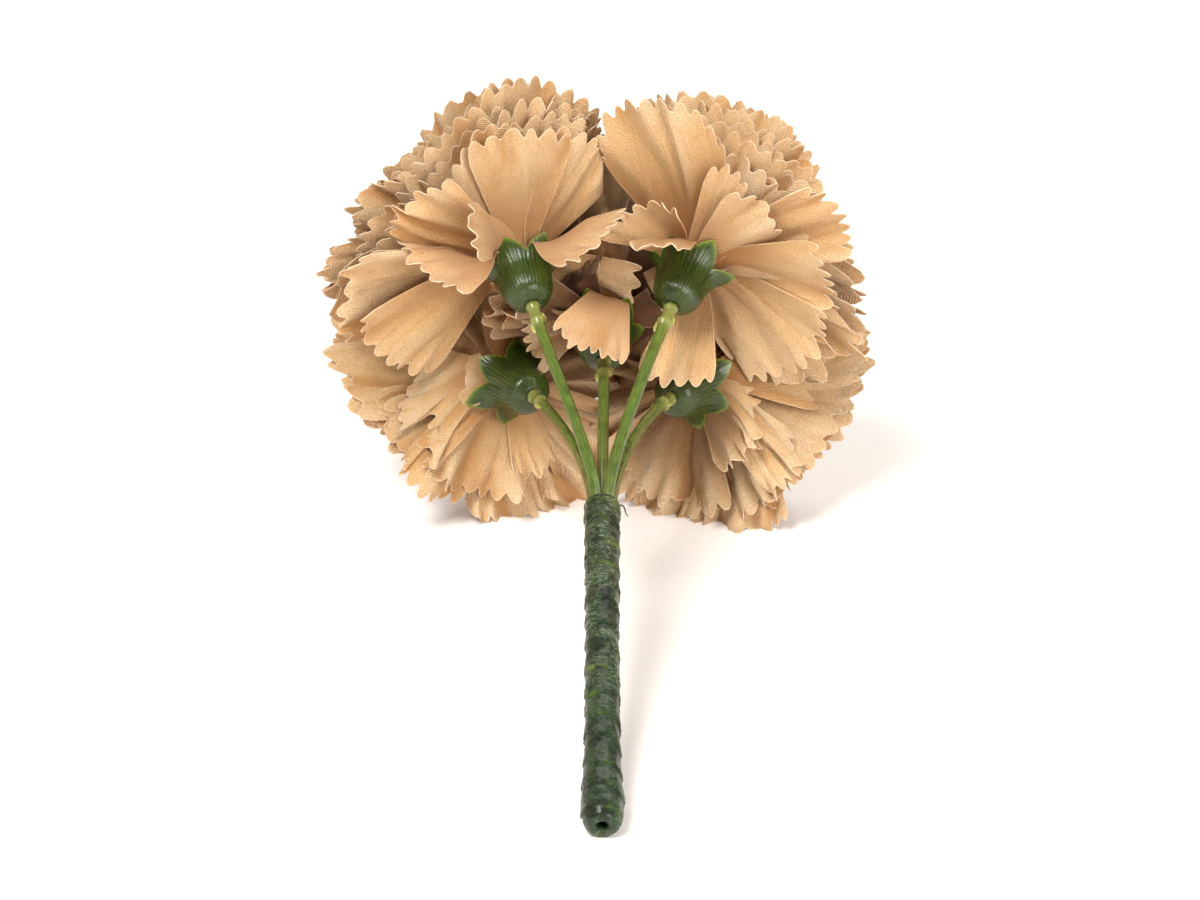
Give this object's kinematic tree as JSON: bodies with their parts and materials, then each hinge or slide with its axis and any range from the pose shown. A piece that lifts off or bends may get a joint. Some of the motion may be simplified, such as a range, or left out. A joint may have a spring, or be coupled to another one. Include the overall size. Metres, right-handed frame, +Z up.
{
  "type": "artificial carnation bunch",
  "caption": "Bunch of artificial carnations: frilled double blooms of toothed fabric petals in green plastic cups, on curved stems bound into a straight handle with floral tape.",
  "frame": {"origin": "on the surface that the bunch lies on, under the middle of its box", "axes": "+Y from the end of the handle towards the heads, +X to the right seen from the handle's end, +Z up"},
  "size_m": [0.1468, 0.2338, 0.1248],
  "materials": {
    "petal_fabric": "matt woven fabric, tan with a warmer root, stiffened, cut edge lighter",
    "calyx_plastic": "glossy moulded plastic, dark green, finely ribbed",
    "stem_plastic": "glossy moulded plastic, bright green",
    "floral_tape": "waxed crepe paper tape, dark green, wound in a spiral"
  },
  "bodies": {
    "root": {"tape_wrap": "floral_tape", "stem_upper_left": "stem_plastic", "stem_upper_right": "stem_plastic", "stem_lower_left": "stem_plastic", "stem_lower_right": "stem_plastic", "stem_centre": "stem_plastic", "calyx_upper_left": "calyx_plastic", "calyx_upper_right": "calyx_plastic", "calyx_lower_left": "calyx_plastic", "calyx_lower_right": "calyx_plastic", "calyx_centre": "calyx_plastic", "bloom_upper_left": "petal_fabric", "bloom_upper_right": "petal_fabric", "bloom_lower_left": "petal_fabric", "bloom_lower_right": "petal_fabric", "bloom_centre": "petal_fabric"}
  },
  "joints": []
}
